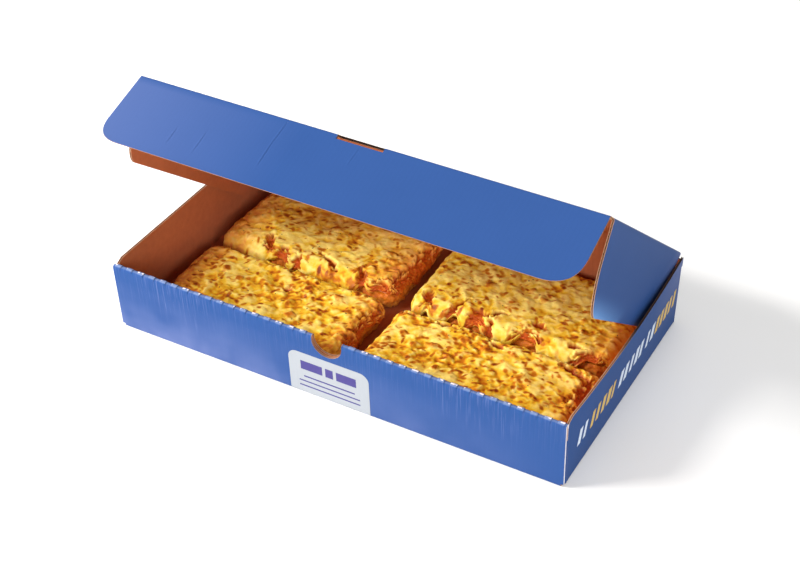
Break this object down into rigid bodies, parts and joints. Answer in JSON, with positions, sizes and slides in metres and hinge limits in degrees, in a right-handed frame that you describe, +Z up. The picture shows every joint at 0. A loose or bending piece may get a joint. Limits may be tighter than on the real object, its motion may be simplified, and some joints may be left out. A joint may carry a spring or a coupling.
{
  "type": "pizza in its box",
  "caption": "Oblong takeaway box of corrugated board with a hinged lid and tucking front flap, open, with thick pizza slices lying in the tray.",
  "frame": {"origin": "centre of the underside of the tray", "axes": "+X to the right along the long side, +Y from the front wall towards the hinged back wall, +Z up"},
  "size_m": [0.35, 0.2135, 0.1863],
  "materials": {
    "board": "satin",
    "crust": "matte",
    "sauce": "gloss",
    "cheese": "satin"
  },
  "bodies": {
    "tray": {"tray": "board", "front_left_crust": "crust", "front_left_sauce": "sauce", "front_left_cheese": "cheese", "front_right_crust": "crust", "front_right_sauce": "sauce", "front_right_cheese": "cheese", "rear_left_crust": "crust", "rear_left_sauce": "sauce", "rear_left_cheese": "cheese", "rear_right_crust": "crust", "rear_right_sauce": "sauce", "rear_right_cheese": "cheese"},
    "lid": {"lid": "board", "left_flap": "board", "right_flap": "board"},
    "front_flap": {"front_flap": "board"}
  },
  "joints": [
    {"name": "lid_hinge", "type": "hinge", "parent": "tray", "child": "lid", "pos_m": [0, 0.1013, 0.0584], "axis": [-1, 0, 0], "range_deg": [-36.4, 141.4]},
    {"name": "front_flap_fold", "type": "hinge", "parent": "lid", "child": "front_flap", "pos_m": [0, -0.05651, 0.18642], "axis": [-1, 0, 0], "range_deg": [-42.7, 57.3]}
  ]
}
